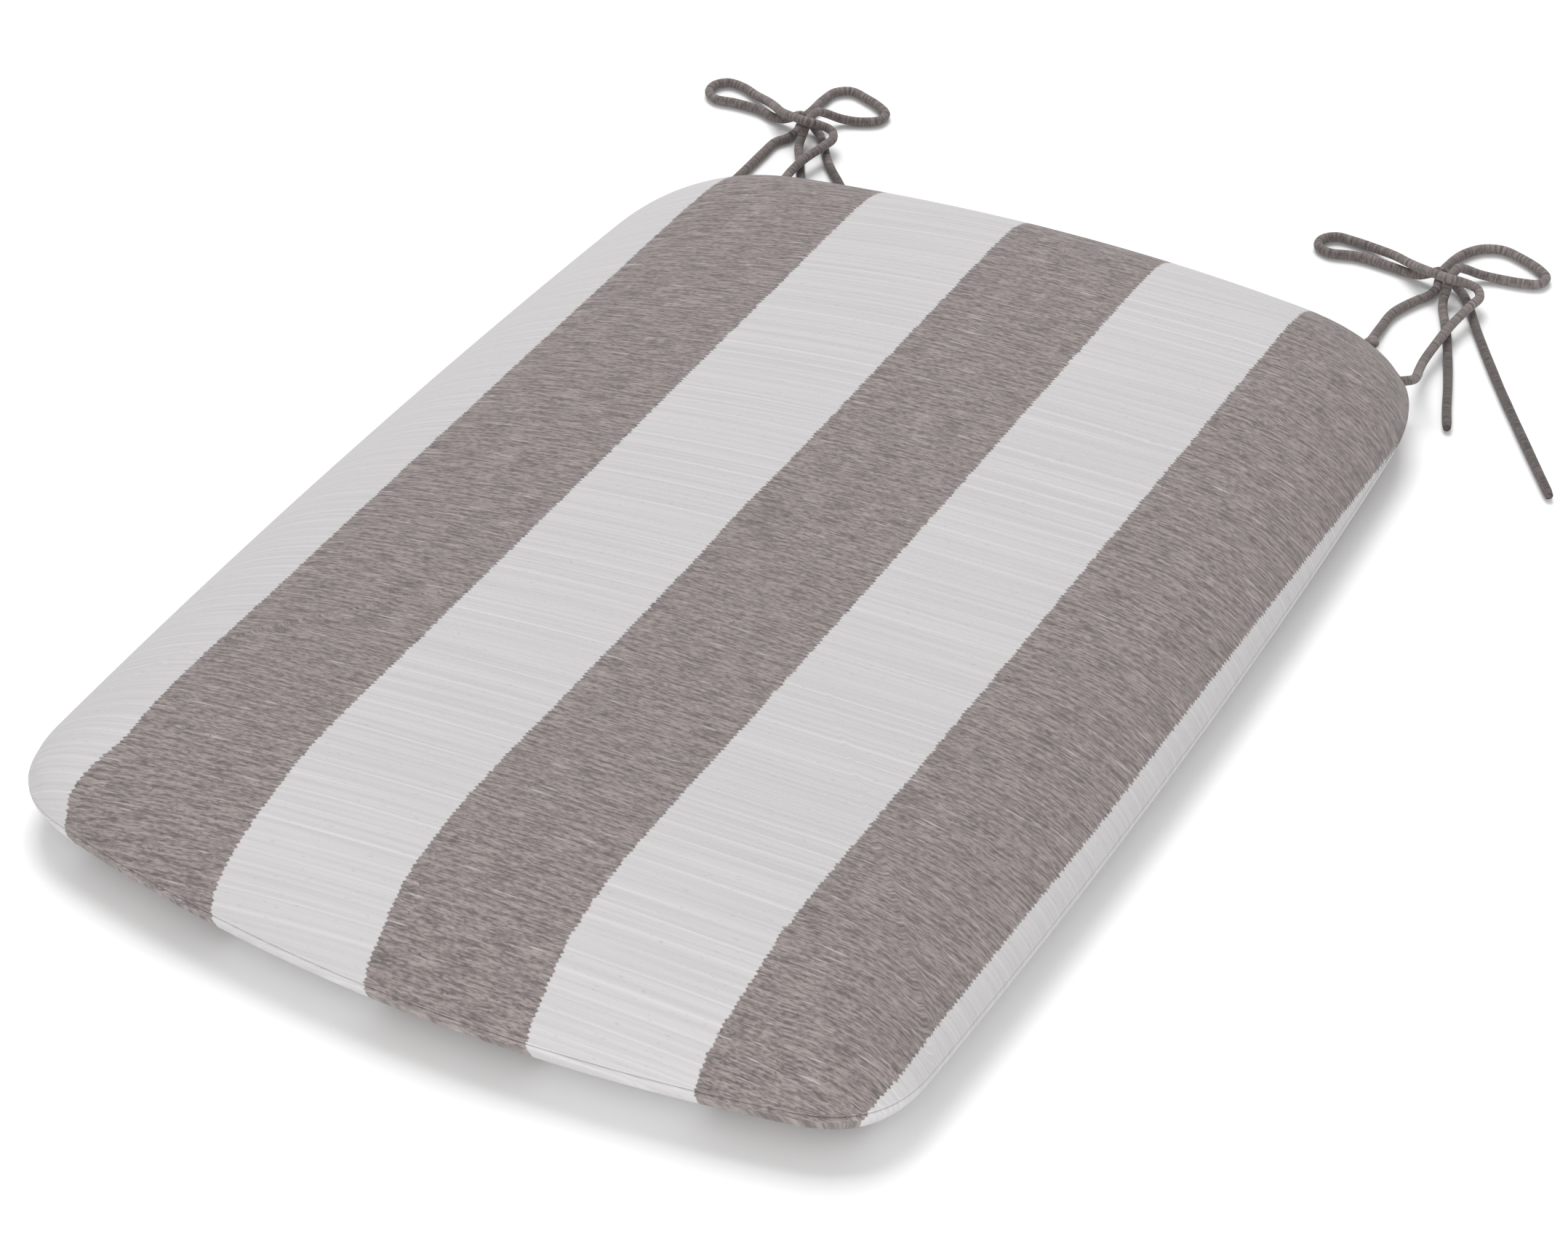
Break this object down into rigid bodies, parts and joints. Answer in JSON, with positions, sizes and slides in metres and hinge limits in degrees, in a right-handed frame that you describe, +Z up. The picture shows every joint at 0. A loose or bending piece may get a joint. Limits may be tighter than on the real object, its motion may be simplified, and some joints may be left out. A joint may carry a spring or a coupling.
{
  "type": "chair seat pad",
  "caption": "Padded fabric seat cushion for a chair, with a plain seam round its edge and round fabric ties knotted in bows behind its back corners.",
  "frame": {"origin": "centre of the pad's flat underside, the ties left out", "axes": "+Z up through the pad, +Y towards its back edge where the ties are, +X towards its right side seen from the front"},
  "size_m": [0.4632, 0.6593, 0.047],
  "materials": {
    "striped_cloth": "matte woven",
    "tie_cloth": "matte woven",
    "wadding": "matte fibre",
    "foam": "matte open cell",
    "thread": "matte thread"
  },
  "bodies": {
    "root": {"cover_top_panel": "striped_cloth", "cover_bottom_panel": "striped_cloth", "seam_allowance": "striped_cloth", "seam_thread": "thread", "foam_core": "foam", "wadding_top": "wadding", "wadding_bottom": "wadding", "tie_left_outer": "tie_cloth", "tie_left_inner": "tie_cloth", "tie_right_outer": "tie_cloth", "tie_right_inner": "tie_cloth", "tack_left_outer": "thread", "tack_left_inner": "thread", "tack_right_outer": "thread", "tack_right_inner": "thread"}
  },
  "joints": []
}
